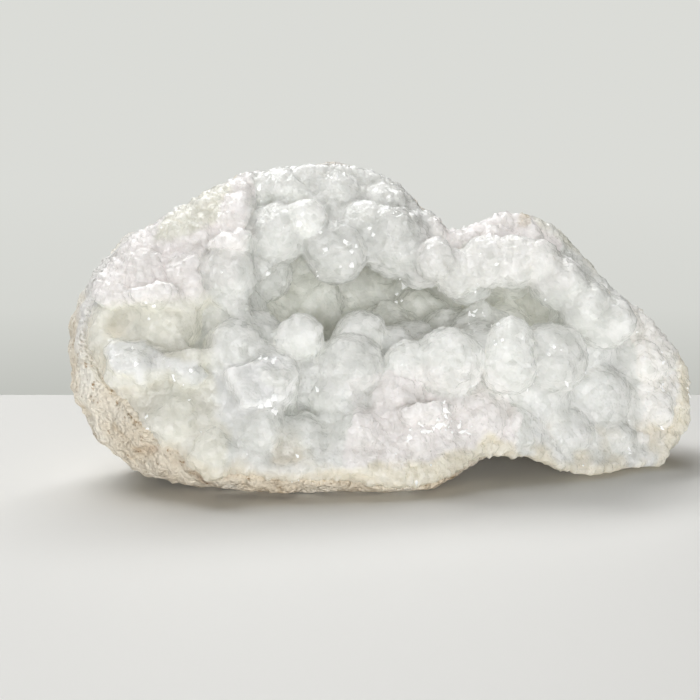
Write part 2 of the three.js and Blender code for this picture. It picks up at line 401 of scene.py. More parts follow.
# %% The milky quartz
def milky_quartz(name, rough, depth, tilt, reach, inside):
    """Quartz by its roughness, the depth of its grain, the tilt of its facets and how far light goes in."""
    material, tree, shader, group = finish(name, rough, Subsurface_Weight=inside, IOR=1.54)
    shader.inputs["Subsurface Radius"].default_value = (1.0, 0.98, 0.95)
    shader.inputs["Subsurface Scale"].default_value = reach
    shader.inputs["Emission Strength"].default_value = 1.0
    group.inputs["Cloud Scale"].default_value = 170
    group.inputs["Grain Scale"].default_value = 1100
    group.inputs["Crystal Scale"].default_value = 480
    clouds = colour_ramp(tree, group.outputs["Cloud"], [(0.36, (0.91, 0.915, 0.905)), (0.6, (1, 1, 1))])
    dull = (0.925, 0.93, 0.925)
    crystals = colour_ramp(tree, group.outputs["Crystals"], [(0.25, dull), (0.7, (1, 1, 1))])
    tint = tree.nodes.new("ShaderNodeAttribute")
    tint.attribute_name = "tint"
    glow = tree.nodes.new("ShaderNodeAttribute")
    glow.attribute_name = "glow"
    clouded = mixed(tree, "MULTIPLY", 1.0, tint.outputs["Color"], clouds)
    toned = mixed(tree, "MULTIPLY", 1.0, clouded, crystals)
    tree.links.new(toned, shader.inputs["Base Color"])
    glowing = mixed(tree, "MULTIPLY", 1.0, toned, glow.outputs["Color"])
    tree.links.new(glowing, shader.inputs["Emission Color"])
    bumped(tree, shader, (group.outputs["Height"], depth), (group.outputs["Facets"], tilt))
    return material


# %% Painted glints: a white finish that glows a little, where light catches a clear point
def white_flakes():
    material, tree, shader, group = finish("white_flakes", 0.08, IOR=1.54, Coat_Weight=0.5)
    # A faint glow of its own: painted light for the window that clear faces reflect.
    shader.inputs["Emission Color"].default_value = (1.0, 1.0, 1.0, 1)
    shader.inputs["Emission Strength"].default_value = 0.2
    group.inputs["Crystal Scale"].default_value = 600
    shades = colour_ramp(tree, group.outputs["Crystals"], [
        (0.3, (0.86, 0.87, 0.87)), (0.7, (0.97, 0.97, 0.97)),
    ])
    tree.links.new(shades, shader.inputs["Base Color"])
    return material


ROCK = chalky_rock()
BROKEN_QUARTZ = milky_quartz(
    "broken_quartz", rough=0.25, depth=0.2 * MM, tilt=0.4, reach=8 * MM, inside=0.85
)
PAINTED_GLINTS = white_flakes()
print("finishes:", ROCK.name, BROKEN_QUARTZ.name, PAINTED_GLINTS.name)


def wear(piece, material, body="root"):
    """Gives a finished piece its material and says what it moves with."""
    piece.data.materials.clear()
    piece.data.materials.append(material)
    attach(piece, body)
    print(piece.name, triangle_count(piece), "triangles")


def set_colours(piece, name, colours):
    """Stores a colour for each vertex as an attribute that the finishes read."""
    layer = piece.data.attributes.new(name, "FLOAT_COLOR", "POINT")
    values = np.ones((len(colours), 4), np.float32)
    values[:, :3] = colours
    layer.data.foreach_set("color", values.ravel())


# %% [markdown]
# ## Hidden faces
# The rind and the crust touch all over, so half of each is never seen. Those faces are thinned with a
# Decimate modifier, and the detail goes where it shows. The crust is then thinned a little all over, because
# past 200,000 triangles a piece is a burden to whoever opens it.


# %% Thinning what is hidden
def thin_hidden(piece, hidden, keep):
    """Collapses the triangles of the hidden vertices, down to a share of them."""
    group = piece.vertex_groups.new(name="hidden")
    group.add(np.flatnonzero(hidden).tolist(), 1.0, "REPLACE")
    modifier = piece.modifiers.new("thin", "DECIMATE")
    modifier.ratio = 1 - (1 - keep) * float(hidden.mean())
    modifier.vertex_group = "hidden"
    modifier.vertex_group_factor = 1000
    apply_modifiers(piece)
    piece.vertex_groups.clear()


def thin_all(piece, most):
    """Collapses the flattest triangles first, down to a number of them."""
    modifier = piece.modifiers.new("thin", "DECIMATE")
    modifier.ratio = most / triangle_count(piece)
    apply_modifiers(piece)


def gap_to(points, node_name, reach):
    """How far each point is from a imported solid's surface, in metres, up to a reach."""
    bm = bmesh.new()
    bm.from_mesh(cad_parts[node_name].data)
    tree = BVHTree.FromBMesh(bm)
    bm.free()
    found = (tree.find_nearest(Vector(p), reach)[3] for p in points)
    return np.array([reach if gap is None else gap for gap in found])


# %% [markdown]
# ## The rock shell
# The rind is a few millimetres of chalky rock with dents, pits and a powdery surface. A Displace modifier
# could roughen it, but moving the points in code lets the lumps fade out near the broken rim and under the
# resting flat, which have to stay where the solid has them.

# %% The rock shell
ROCK_VOXEL = 0.95 * MM
ROCK_SWELL = 0.9  # mm outwards, all over
ROCK_LUMPS = [(1.1, 14, 1), (0.9, 6, 2), (0.5, 2.8, 3), (0.55, 1.6, 4)]  # height, width (mm), salt
ROCK_PITS = [(0.9, 9, 5, 0.9), (0.35, 3.5, 6, 0.88)]  # depth, width (mm), salt, and the blob's edge
LEFT_END_SWELL = 1.4  # mm

rind_rock = cad_copy("rind_rock", "rind")
remesh(rind_rock, ROCK_VOXEL)
rock_points = points_of(rind_rock)
rock_back = ramp(behind_break(rock_points), 1.5 * MM, 7 * MM)
smooth(rind_rock, 30, 0.15 + 0.85 * rock_back)
rock_points = points_of(rind_rock)
inner = gap_to(rock_points, "crystal_crust", 0.9 * MM) < 0.9 * MM
lifted = ramp(rock_points[:, 2], 0, 4 * MM)
outward = ROCK_SWELL
for height, wide, salt in ROCK_LUMPS:
    outward = outward + height * lumps(rock_points, wide * MM, salt)
for deep, wide, salt, start in ROCK_PITS:
    outward = outward - deep * ramp(blobs(rock_points, wide * MM, salt), start, 1.0)
outward *= MM
outward += LEFT_END_SWELL * MM * ramp(-rock_points[:, 0], 68 * MM, 88 * MM)
outward *= np.where(inner, 0, 0.25 + 0.75 * lifted)
rock_points += normals_of(rind_rock) * outward[:, None]
rock_points[:, 2] = np.maximum(rock_points[:, 2], 0)
set_points(rind_rock, rock_points)
thin_hidden(rind_rock, inner & (rock_back > 0.5), 0.12)
print("the rock is moved by", round(outward.min() / MM, 1), "to", round(outward.max() / MM, 1), "mm")

# %% [markdown]
# ## Stains of the rock
# Iron in the ground water left rusty spots along the rock's edge at the lower left, and the rock is a little
# darker near the surface that it lies on. Along the upper rim it is dusted with white powder from the break.
# An image could be painted for this, but a few places with a radius do it, and noise makes them ragged.

# %% Rust, a darker underside and a powdery rim
RUST = np.array([  # x, y, z and the radius of the spot, in mm
    (-67, -36, 15, 4), (-62, -38, 10.5, 3), (-52, -39, 9, 3.5), (-44, -40, 8.5, 3), (-78, -25, 27, 3),
]) * MM
rock_points = points_of(rind_rock)
ragged = 2 * MM * lumps(rock_points, 3 * MM, 8)
rust = np.zeros(len(rock_points))
for *middle, patch in RUST:
    away = np.linalg.norm(rock_points - (np.array(middle) + PART_SHIFT), axis=1) + ragged
    rust = np.maximum(rust, ramp(away, 1.7 * patch, 0.5 * patch))
low = ramp(rock_points[:, 2], 40 * MM, 0)
stain = ramp(lumps(rock_points, 18 * MM, 7), -0.1, 0.6)
rock_tint = 1 - (low * (0.06 + 0.10 * stain))[:, None] * np.array([0.7, 1.0, 1.4])
rock_tint -= 0.42 * rust[:, None] * np.array([0.8, 1.0, 1.15])
set_colours(rind_rock, "tint", rock_tint)
beige_patch = ramp(np.abs(rock_points[:, 0] + 52 * MM), 7 * MM, 4 * MM)
rimmed = ramp(rock_points[:, 2], 34 * MM, 48 * MM) * ramp(behind_break(rock_points), 14 * MM, 7 * MM)
set_colours(rind_rock, "pale", np.repeat((rimmed * (1 - 0.8 * beige_patch))[:, None], 3, axis=1))
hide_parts("rind")
wear(rind_rock, ROCK)

# %% [markdown]
# ## The balls of crystal
# Each ball is a burst of crystals that grew outwards from one point, so its outline is round but scalloped
# by their tips. An icosphere has even triangles all over, with no poles, so it takes such detail well. The
# balls are only a start here: they are joined with the crust and remeshed together, because light that
# scatters inside the quartz has to pass from a ball into the crust behind it without meeting a wall.

# %% The balls of the roof and of the floor, as x, y, z, radius, tone and how smooth they are
ROOF_BALLS = [
    (-48, -20, 60, 7.5, 0.97, 1), (-35, -10, 70, 8.5, 0.95, 1), (-26, -13, 75, 5.5, 1.13, 1),
    (-18, -10, 65, 9.2, 0.93, 1), (-10, -4, 72, 8, 0.96, 0.6), (-1, -5, 68, 10, 0.9, 0.6),
    (8, -4, 62, 7.5, 0.9, 0.7), (11, -12, 63, 5.5, 0.97, 0.5), (18, -8, 59, 7, 1.02, 0.5),
    (26, -7, 62, 7.5, 1.0, 0.5), (34, -7, 62, 7.5, 1.02, 0.5), (41, -9, 62, 6, 1.04, 0.5),
    (48, -9, 56, 7.5, 0.98, 0.4), (55, -10, 49, 7.5, 0.97, 0.3), (62, -10, 45, 7.5, 1.0, 0.2),
    (-40, -3, 58, 8, 0.93, 1), (22, 2, 57, 8, 0.95, 0.8),
]
FLOOR_BALLS = [
    (-49, -12, 47, 10, 0.95, 1), (-46, -28, 38, 8.5, 1.02, 1), (-40, -20, 41, 8, 1.0, 1),
    (-28, -25, 42, 6.5, 1.11, 1), (-34, -18, 36, 8, 0.98, 1), (-11, -16, 41, 7.5, 1.09, 0.8),
    (-2, -13, 36, 7.5, 0.99, 0.6), (-14, -24, 33, 9.5, 1.0, 0.3), (2, -26, 35, 5.5, 1.08, 0.2),
    (14, -24, 35, 9, 1.04, 0.2), (23, -16, 37, 7.5, 0.98, 0.5), (32, -22, 41, 6.3, 1.11, 1),
    (31.5, -23, 37, 7, 1.10, 1), (31, -24, 33, 7.3, 1.08, 1), (44, -15, 35, 9.8, 0.95, 0.4),
    (-27, -22, 30, 8, 0.93, 0.7), (-16, -26, 24, 9, 0.97, 0.2),
]
BALLS = np.array(ROOF_BALLS + FLOOR_BALLS)
BALL_MIDDLES = BALLS[:, :3] * MM + PART_SHIFT
BALL_RADII = BALLS[:, 3] * MM
BALL_TONES = BALLS[:, 4]
BALL_SMOOTHNESS = BALLS[:, 5]


# %% Starting the balls
def rough_balls():
    bm = bmesh.new()
    for middle, radius in zip(BALL_MIDDLES, BALL_RADII):
        bmesh.ops.create_icosphere(bm, subdivisions=4, radius=radius, matrix=Matrix.Translation(middle))
    balls = new_object("rough_balls", bm)
    points = points_of(balls)
    each = len(points) // len(BALLS)
    middles = np.repeat(BALL_MIDDLES, each, axis=0)
    swell = 1 + 0.12 * lumps(points, 7 * MM, 31) + 0.10 * (blobs(points, 5 * MM, 32) - 0.6)
    set_points(balls, middles + (points - middles) * swell[:, None])
    return balls


# %% [markdown]
# ## The broken block
# One clear block stands out on the left of the break, with straight edges where the crystal cleaved. A cube
# is bent out of square and its edges get a fine bevel. It is joined with the crust, as the balls are.

# %% The broken block
BLOCK_MIDDLE = np.array([-40.2, -35.2, 29.4]) * MM + PART_SHIFT
BLOCK_SIZE = np.array([15.5, 13, 11.5]) * MM
BLOCK_TURN = Euler([math.radians(angle) for angle in (-24, -8, 24)]).to_matrix()
BLOCK_TAPER = 0.8
BLOCK_LEAN = 1.0 * MM
BLOCK_BEVEL = 0.6 * MM


def broken_block():
    bm = bmesh.new()
    bmesh.ops.create_cube(bm, size=1.0)
    bmesh.ops.scale(bm, vec=BLOCK_SIZE, verts=bm.verts)
    for vertex in bm.verts:
        if vertex.co.z < 0:
            vertex.co.x = BLOCK_TAPER * vertex.co.x + BLOCK_LEAN
    bmesh.ops.bevel(
        bm, geom=bm.edges[:], offset=BLOCK_BEVEL, segments=1, profile=0.5, affect="EDGES", material=-1
    )
    place = Matrix.Translation(BLOCK_MIDDLE) @ BLOCK_TURN.to_4x4()
    bmesh.ops.transform(bm, matrix=place, verts=bm.verts)
    return new_object("broken_block", bm)


def on_block(points):
    """How near each point is to the block, 1 on it, and how near to one of its edges."""
    local = np.abs((points - BLOCK_MIDDLE) @ np.array(BLOCK_TURN) / BLOCK_SIZE)
    ordered = np.sort(local, axis=1)
    return ramp(ordered[:, 2], 0.68, 0.54), ramp(ordered[:, 1], 0.36, 0.47)


def join(piece, other):
    """Adds another object's mesh to a piece's and removes the other object."""
    bm = bmesh.new()
    bm.from_mesh(piece.data)
    bm.from_mesh(other.data)
    bm.to_mesh(piece.data)
    bm.free()
    bpy.data.objects.remove(other)


# %% [markdown]
# ## The crystal crust
# The crust carries everything else. Near the broken face it is sugary and stepped, because the crystals
# snapped at different heights, and in the hollow it swells into small balls. Both textures are blended by
# how far a point lies behind the break.

# %% Which ball a point belongs to
def ball_of(points):
    """For each point, how fully it lies on a ball from 0 to 1, that ball's tone and its smoothness."""
    nearest = np.full(len(points), np.inf)
    tone = np.ones(len(points))
    even = np.zeros(len(points))
    for middle, radius, own_tone, smoothness in zip(BALL_MIDDLES, BALL_RADII, BALL_TONES, BALL_SMOOTHNESS):
        distance = np.linalg.norm(points - middle, axis=1) / radius
        closer = distance < nearest
        nearest = np.where(closer, distance, nearest)
        tone = np.where(closer, own_tone, tone)
        even = np.where(closer, smoothness, even)
    share = ramp(nearest, 1.35, 1.15)
    return share, tone, even * share


# %% [markdown]
# ## Slabs and recesses
# The break runs up and down in steps: slabs of white, sugary crystal stand proud, and below their scalloped
# lower edges the glassy quartz lies a few millimetres deeper. Each step is an outline drawn on the broken
# face, with a rise, a colour and a roughness. Noise bends the outlines, so that no edge runs straight.

# %% The steps of the broken face, as outlines in x and z, a rise in mm, a colour and a roughness
SUGAR = (0.85, 0.818, 0.813)
MILK = (0.825, 0.828, 0.82)
GLASSY = (0.775, 0.782, 0.76)
BEIGE = (0.79, 0.778, 0.715)
CHALK = (0.90, 0.88, 0.855)
SANDY = (0.84, 0.79, 0.685)
RUSTY = (0.62, 0.55, 0.45)
STEPS = [
    ([(-100, 52), (-80, 49), (-66, 49), (-54, 47), (-50, 38), (-50, 25), (-46, 12), (-70, 0), (-100, 30)],
     0, BEIGE, 0.6),
    ([(-100, 54), (-87, 54), (-80, 50), (-70, 51.5), (-59, 51.3), (-54, 54.8), (-45.5, 55.2), (-45, 63),
      (-41, 68), (-42, 79), (-41, 100), (-100, 100)], 2.2, SUGAR, 1.0),
    ([(-67, 70), (-61, 85), (-50, 85), (-53, 76), (-60, 71)], 0, BEIGE, 1.0),
    ([(-80, 50), (-53, 54), (-50, 45), (-52, 39), (-60, 37.5), (-78, 41)], -2.4, BEIGE, 0.2),
    ([(-79, 40), (-70, 42), (-62, 39), (-55, 37), (-51.5, 34), (-54, 31.5), (-61, 34.6), (-67, 33),
      (-75, 36)], 2.0, MILK, 0.8),
    ([(-66, 33), (-61, 34), (-52, 31), (-48, 25), (-60, 22), (-68, 27)], -2.0, BEIGE, 0.5),
    ([(-42, 80), (-41, 66), (-30, 63), (-29, 79)], -2.4, GLASSY, 0.2),
    ([(4, 55), (9, 51.5), (15, 47.5), (20, 54), (26, 55.5), (34, 54.5), (43, 53.5), (50, 57), (52, 66),
      (40, 82), (24, 84), (8, 70)], 2.0, SUGAR, 0.8),
    ([(20, 54), (44, 53), (52, 48), (46, 40), (36, 37), (20, 42)], -2.0, GLASSY, 0.15),
    ([(-15, 31), (-4, 34), (8, 35), (24, 33), (31, 26), (33, 12), (20, 6), (0, 4), (-14, 8)],
     0.8, SUGAR, 0.9),
    ([(36, 30), (48, 36), (60, 44), (70, 36), (66, 18), (50, 10), (38, 14)], -0.6, MILK, 0.4),
    ([(75, 50), (72, 38), (76, 26), (74, 8), (100, 5), (100, 60)], 0.4, CHALK, 1.0),
    ([(89, 55), (91, 34), (88, 22), (82, 10), (76, 0), (110, 0), (110, 60)], 0, SANDY, 1.0),
    ([(-33, 24), (-24, 30), (-17, 26), (-20, 14), (-32, 12)], -2.2, GLASSY, 0.3),
    ([(45, 75), (52, 69), (60, 64), (67, 57), (76, 60), (62, 76), (48, 84)], 0, BEIGE, 0.8),
    ([(38.5, 75), (39, 80), (42, 80), (41, 74.5)], 0, RUSTY, 1.0),
    ([(-62, 15), (-54, 12), (-45, 9.5), (-36, 7.5), (-27, 8), (-14, 8.5), (0, 9), (11, 10.5), (19, 12),
      (25.6, 16), (32, 12.5), (34, 7), (40, 5), (59, 2), (74, 2), (74, -9), (-62, -9)], 0, SANDY, 1.0),
]


# %% How far a point lies within an outline
def within(flat, outline):
    """Distance in metres to an outline's edge, positive inside it, for points given as x and z."""
    corners = np.array(outline) * MM + PART_SHIFT[[0, 2]]
    nearest = np.full(len(flat), np.inf)
    odd = np.zeros(len(flat), bool)
    for a, b in zip(corners, np.roll(corners, -1, axis=0)):
        side = b - a
        along = ((flat - a) @ side / (side @ side)).clip(0, 1)
        nearest = np.minimum(nearest, np.linalg.norm(flat - a - along[:, None] * side, axis=1))
        crosses = (a[1] > flat[:, 1]) != (b[1] > flat[:, 1])
        meets = a[0] + (flat[:, 1] - a[1]) * side[0] / (side[1] if side[1] else 1e-9)
        odd ^= crosses & (flat[:, 0] < meets)
    return np.where(odd, nearest, -nearest)


def warped(points, far, wide, salt):
    """Points moved by smooth noise, so that a pattern on them loses its even grid."""
    return points + far * np.stack([lumps(points, wide, salt + k) for k in range(3)], axis=1)


def edge_width(rise):
    """Half the width of a step's edge: a raised slab has the crispest one, a recess the softest."""
    if rise > 0:
        return 0.7 * MM
    if rise < 0:
        return 2.6 * MM
    return 1.3 * MM


def step_shares(points):
    """For each step, how much of it each point has, from 0 to 1, with scalloped edges."""
    flat = warped(points, 2.4 * MM, 7 * MM, 41)[:, [0, 2]]
    scallop = 3.4 * MM * (blobs(points, 6 * MM, 44) - 0.62)
    on_face = ramp(behind_break(points), 13 * MM, 6 * MM)
    shares = []
    for outline, rise, *_ in STEPS:
        soft = edge_width(rise)
        shares.append(on_face * ramp(within(flat, outline) + scallop, -soft, soft))
    return shares


# %% The crust and its balls as one closed skin
JOINING_VOXEL = 0.75 * MM
CRUST_VOXEL = 0.58 * MM
TOWARDS_VIEWER = np.array([0.0, -1.0, 0.25])

crust_mass = cad_copy("crust_mass", "crystal_crust")
join(crust_mass, rough_balls())
join(crust_mass, broken_block())
remesh(crust_mass, JOINING_VOXEL)
smooth(crust_mass, 9)
crust_points = points_of(crust_mass)
rise = sum(share * step[1] for share, step in zip(step_shares(crust_points), STEPS))
fixed = np.maximum(ball_of(crust_points)[0], on_block(crust_points)[0])
fixed = np.maximum(fixed, gap_to(crust_points, "rind", 3 * MM) < 1 * MM)
set_points(crust_mass, crust_points + (rise * (1 - fixed) * MM)[:, None] * TOWARDS_VIEWER)
remesh(crust_mass, CRUST_VOXEL)
smooth(crust_mass, 3)
print("the crust starts with", triangle_count(crust_mass), "triangles")

# %% [markdown]
# ## The texture of the crust
# Four sizes of noise are added along the normals: swells, clusters of crystals, single crystals and grains.
# All but the grains are cut off from below, because quartz fills its own clefts as it grows. The block stays
# nearly smooth, and what touches the rock stays where it is.

# %% Where the crust is broken, rough, cleaved or hidden
USUAL_ROUGHNESS = 0.6
crust_points = points_of(crust_mass)
rind_gap = gap_to(crust_points, "rind", 5 * MM)
depth = behind_break(crust_points)
_, _, even = ball_of(crust_points)
rougher = sum(
    share * (step[3] - USUAL_ROUGHNESS) for share, step in zip(step_shares(crust_points), STEPS)
)
rough = USUAL_ROUGHNESS + rougher.clip(-0.6, 0.4)
cleaved, _ = on_block(crust_points)
broken = ramp(depth, 14 * MM, 5 * MM) * (1 - even)
hidden = (rind_gap < 0.8 * MM) & (depth > 3 * MM)
print(round(100 * float(hidden.mean())), "percent of the crust is hidden")

# %% Its relief, in mm
crag_points = warped(crust_points, 1.6 * MM, 5 * MM, 15)
swells = np.maximum(blobs(warped(crust_points, 2.5 * MM, 9 * MM, 17), 10 * MM, 11), 0.25)
clusters = np.maximum(blobs(crag_points, 4.6 * MM, 12), 0.4)
crystals = np.maximum(tips(crag_points, 2.7 * MM, 13), 0.3)
grains = tips(crust_points, 1.6 * MM, 14)
relief_broken = swells + 0.65 * clusters + (0.5 + rough) * crystals + 0.8 * rough * grains - 1.5
relief_grown = (1 - 0.4 * even) * (1.2 * clusters - 0.7) + crystals + 0.3 * grains - 0.5
relief = broken * relief_broken + (1 - broken) * relief_grown
relief = relief * (1 - 0.7 * cleaved) + 1.5 * ramp(crust_points[:, 0], 70 * MM, 86 * MM)
relief *= np.where(hidden, 0, ramp(crust_points[:, 2], 0.5 * MM, 3 * MM))
set_points(crust_mass, crust_points + normals_of(crust_mass) * (relief * MM)[:, None])
print("relief from", round(relief.min(), 2), "to", round(relief.max(), 2), "mm")

# %% [markdown]
# ## Tints of the crystals
# Broken crystal is a warm, slightly pinkish white, because air between the grains scatters all the light.
# The grown walls of the hollow are a paler, slightly yellow-green white, and that paleness is painted light,
# which lifts some of the shade deep in the hollow. Tips of crystals and the deepest clefts between them are
# painted a little lighter too: painted light that thin tips pass on, and painted light against the shade
# that falls in clefts. The edges of the broken block are painted lighter as a painted highlight, and next to
# the rock the quartz is stained.

# %% Tints
MILKY = np.array([0.80, 0.803, 0.787])
# HOLLOW is paler than MILKY: painted light that lifts the shade deep in the hollow.
HOLLOW = np.array([0.84, 0.842, 0.80])
STAINED = np.array([0.82, 0.75, 0.62])


def crystal_tint(points, height, rind_gap):
    """The colour at each point, from its place, its relief in mm and its distance to the rock."""
    deep = ramp(behind_break(points), 8 * MM, 24 * MM)[:, None]
    tint = MILKY + deep * (HOLLOW - MILKY)
    share, tone, _ = ball_of(points)
    for own, (_, _, colour, _) in zip(step_shares(points), STEPS):
        tint = tint + (own * (1 - 0.7 * share))[:, None] * (np.array(colour) - tint)
    block, edge = on_block(points)
    # Painted highlight: the block's edges are painted lighter than its faces.
    tint = tint + block[:, None] * (0.80 + 0.14 * edge[:, None] - tint)
    clouds = lumps(warped(points, 3 * MM, 6 * MM, 25), 8 * MM, 24)
    cloudy = 1 + 0.03 * lumps(points, 3 * MM, 22) + 0.045 * clouds
    tint = tint * (cloudy * (1 + share * (tone - 1)))[:, None]
    # Painted light: tips are painted lighter for the light that thin tips pass on, and deep clefts lighter
    # against the shade that falls in them.
    tint *= (1 + 0.05 * ramp(height, 0, 1.4) + 0.04 * ramp(height, 0, -1.2))[:, None]
    x, _, z = points.T
    stainable = np.maximum(ramp(z, 22 * MM, 9 * MM), ramp(x, 74 * MM, 84 * MM))
    stainable = np.maximum(stainable, 0.7 * ramp(x, -60 * MM, -74 * MM) * ramp(z, 52 * MM, 44 * MM))
    reach = (3.0 + 2.2 * lumps(points, 6 * MM, 23)) * MM
    stained = stainable * ramp(rind_gap - reach, 1.2 * MM, -1.2 * MM)
    return (tint + stained[:, None] * 0.75 * (STAINED - tint)).clip(0, 0.97)


CREASE_ANGLE = 26  # degrees, past which an edge between two faces looks sharp
crust_mass.data.set_sharp_from_angle(angle=math.radians(CREASE_ANGLE))
crust_tint = crystal_tint(points_of(crust_mass), relief, rind_gap)
set_colours(crust_mass, "tint", crust_tint)
print("the crust's mean tint is", crust_tint.mean(axis=0).round(3).tolist())

# %% [markdown]
# ## Light that comes through
# Quartz passes light on from crystal to crystal over centimetres, far more than scattering under the
# surface is set to do here. What arrives that way shows in clefts, on undersides and at the ends of the
# hollow, which would be black in plain stone. A stronger scattering would blur the crystals, so a faint
# glow stands for it.

# %% A glow in clefts, on undersides and at the ends of the hollow
GLOW_COLOUR = np.array([1.0, 1.0, 0.95])


def light_through(piece, points, depth):
    """The glow at each vertex, from its place, its depth behind the break and the way that it faces."""
    side = points[:, 0]
    facing = normals_of(piece)
    deep = ramp(depth, 6 * MM, 20 * MM)
    inside = ramp(depth, 2 * MM, 9 * MM)
    at_an_end = np.maximum(ramp(side, -20 * MM, -32 * MM), ramp(side, 26 * MM, 36 * MM))
    turned_away = np.maximum(ramp(-facing[:, 2], 0.1, 0.9), ramp(facing[:, 1], -0.2, 0.5))
    glow = 0.08 - 0.045 * deep + 0.03 * ramp(side, 10 * MM, 50 * MM)
    glow += 0.045 * inside * at_an_end
    glow += 0.11 * (1 - 0.4 * deep) * ramp(cleft_depth(piece), 0.05 * MM, 0.9 * MM)
    return glow + 0.08 * (1 - 0.5 * deep) * turned_away


glow = light_through(crust_mass, crust_points, depth)
set_colours(crust_mass, "glow", glow[:, None] * GLOW_COLOUR)
print("the glow runs from", round(glow.min(), 3), "to", round(glow.max(), 3))

# %% Thinning and wearing
MOST_TRIANGLES = 190_000
thin_hidden(crust_mass, hidden, 0.06)
thin_all(crust_mass, MOST_TRIANGLES)
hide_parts("crystal_crust")
wear(crust_mass, BROKEN_QUARTZ)

# %% [markdown]
# ## Small crystals on the crust
# A druse is a skin of small pointed crystals. Modelling each by hand is out of the question, so Geometry
# Nodes scatters one crystal over the crust: Distribute Points on Faces finds places at least a set distance
# apart, Instance on Points stands a turned and scaled copy on each, and Realize Instances makes them real
# triangles.


# %% One small crystal
SUNK = 0.55  # the share of its height that is below the surface that it stands on


def pointed_crystal(name, radius, height, sides):
    """A pyramid that stands on its base, with its base sunk below the origin."""
    bm = bmesh.new()
    place = Matrix.Translation((0, 0, (0.5 - SUNK) * height))
    bmesh.ops.create_cone(
        bm, cap_ends=True, segments=sides, radius1=radius, radius2=0, depth=height, matrix=place
    )
    made = new_object(name, bm)
    made.data.shade_flat()
    return made


# %% Scattering it
def scatter(name, ground, crystal, apart, lean, sizes, seed):
    """Stands copies of a crystal all over another piece, and returns them as one new piece."""
    tree = bpy.data.node_groups.new(name, "GeometryNodeTree")
    tree.interface.new_socket("Geometry", in_out="OUTPUT", socket_type="NodeSocketGeometry")
    out = node(tree, "NodeGroupOutput")
    surface = node(tree, "GeometryNodeObjectInfo")
    surface.inputs["Object"].default_value = ground
    unit = node(tree, "GeometryNodeObjectInfo")
    unit.inputs["Object"].default_value = crystal
    places = node(tree, "GeometryNodeDistributePointsOnFaces", distribute_method="POISSON")
    places.inputs["Distance Min"].default_value = apart
    places.inputs["Density Max"].default_value = 1.2 / apart**2
    places.inputs["Seed"].default_value = seed
    share = node(tree, "GeometryNodeInputNamedAttribute", data_type="FLOAT")
    share.inputs["Name"].default_value = "druse"
    leaning = node(tree, "FunctionNodeRandomValue", data_type="FLOAT_VECTOR")
    leaning.inputs["Min"].default_value = (-lean, -lean, -math.pi)
    leaning.inputs["Max"].default_value = (lean, lean, math.pi)
    turned = node(tree, "FunctionNodeRotateRotation", rotation_space="LOCAL")
    size = node(tree, "FunctionNodeRandomValue", data_type="FLOAT")
    size_inputs = [s for s in size.inputs if s.type == "VALUE"]
    size_inputs[0].default_value, size_inputs[1].default_value = sizes
    copies = node(tree, "GeometryNodeInstanceOnPoints")
    real = node(tree, "GeometryNodeRealizeInstances")
    links = tree.links
    links.new(surface.outputs["Geometry"], places.inputs["Mesh"])
    links.new(share.outputs["Attribute"], places.inputs["Density Factor"])
    links.new(places.outputs["Points"], copies.inputs["Points"])
    links.new(unit.outputs["Geometry"], copies.inputs["Instance"])
    links.new(places.outputs["Rotation"], turned.inputs["Rotation"])
    links.new(next(s for s in leaning.outputs if s.type == "VECTOR"), turned.inputs["Rotate By"])
    links.new(turned.outputs["Rotation"], copies.inputs["Rotation"])
    links.new(next(s for s in size.outputs if s.type == "VALUE"), copies.inputs["Scale"])
    links.new(copies.outputs["Instances"], real.inputs["Geometry"])
    links.new(real.outputs["Geometry"], out.inputs["Geometry"])
    piece = new_object(name, bmesh.new())
    modifier = piece.modifiers.new("scatter", "NODES")
    modifier.node_group = tree
    apply_modifiers(piece)
    piece.data.shade_flat()
    bpy.data.objects.remove(crystal)
    return piece


# %% Where clear points glint, as x, y, z and the radius of the patch
GLINTS = np.array([
    (5, -12, 55, 5), (24, -8, 46, 4), (30, -14, 42, 4), (46, -6, 43, 4), (-20, -17, 60, 6),
    (-12, -14, 66, 5), (-6, -14, 74, 6), (-28, -14, 80, 5), (-37, -34, 36, 5), (-62, -38, 34, 5),
    (-70, -34, 44, 5), (-8, -38, 22, 7), (12, -36, 20, 8), (-26, -44, 10, 6), (20, -28, 18, 6),
]) * MM
ground_points = points_of(crust_mass)
patchy = ramp(lumps(ground_points, 5 * MM, 61), 0.1, 0.8)
glint = 0.05 * ramp(behind_break(ground_points), 8 * MM, 3 * MM) * patchy
for *middle, patch in GLINTS:
    away = np.linalg.norm(ground_points - (np.array(middle) + PART_SHIFT), axis=1)
    glint = np.maximum(glint, 0.8 * patchy * ramp(away, patch, 0.5 * patch))
glint[ground_points[:, 2] < 3 * MM] = 0
druse = crust_mass.data.attributes.new("druse", "FLOAT", "POINT")
druse.data.foreach_set("value", glint.astype(np.float32))
tip = pointed_crystal("tip", radius=0.95 * MM, height=2.2 * MM, sides=6)
clear_points = scatter("clear_points", crust_mass, tip, apart=1.0 * MM, lean=0.6, sizes=(0.4, 1.3), seed=3)
print("the small crystals have", triangle_count(clear_points), "triangles")
